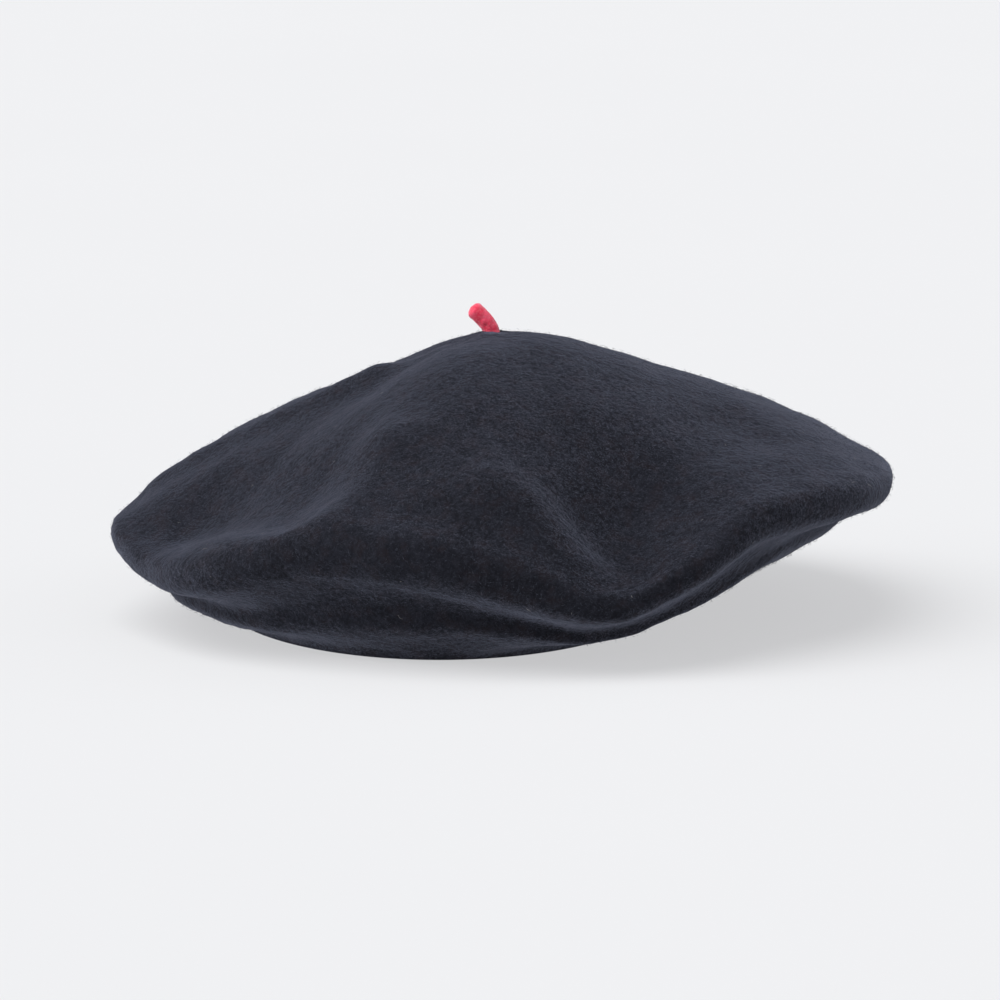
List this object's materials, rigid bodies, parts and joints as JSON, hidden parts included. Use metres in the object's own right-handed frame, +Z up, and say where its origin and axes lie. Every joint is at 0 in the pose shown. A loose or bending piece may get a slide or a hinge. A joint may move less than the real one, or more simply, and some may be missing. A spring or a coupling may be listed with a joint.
{
  "type": "beret",
  "caption": "Soft round felt beret with a short stem on top, a full crown that folds over a rolled rim, a satin lining and a leather sweatband round the head opening.",
  "frame": {"origin": "on the surface that the beret stands on, below the middle of its bounding box", "axes": "+Z up out of the crown, +X to the side over which the crown hangs further, -Y to the front in which the rim dips to its lowest"},
  "size_m": [0.2593, 0.2467, 0.1023],
  "materials": {
    "navy_felt": "short-napped wool felt",
    "red_felt": "twisted wool felt",
    "satin": "satin weave",
    "leather": "fine-grained, semi-matt",
    "thread": "twisted cotton",
    "ribbon": "ribbed grosgrain",
    "label": "woven, blank"
  },
  "bodies": {
    "shell": {"felt_body": "navy_felt", "stem_root": "red_felt", "stem_stitching": "thread", "lining_crown": "satin", "lining_side": "satin", "lining_seam": "satin", "lining_stitching": "thread", "sweatband": "leather", "sweatband_stitching": "thread", "sweatband_join_stitching": "thread", "bow_ribbon": "ribbon", "bow_knot": "ribbon", "size_tab": "label", "size_tab_stitching": "thread"},
    "stem": {"stem": "red_felt"}
  },
  "joints": [
    {"name": "stem_flex", "type": "hinge", "parent": "shell", "child": "stem", "pos_m": [-0.0028, 0.004, 0.0951], "axis": [0, 1, 0], "range_deg": [-16, 104], "stiffness_Nm_per_rad": 0.0003}
  ]
}
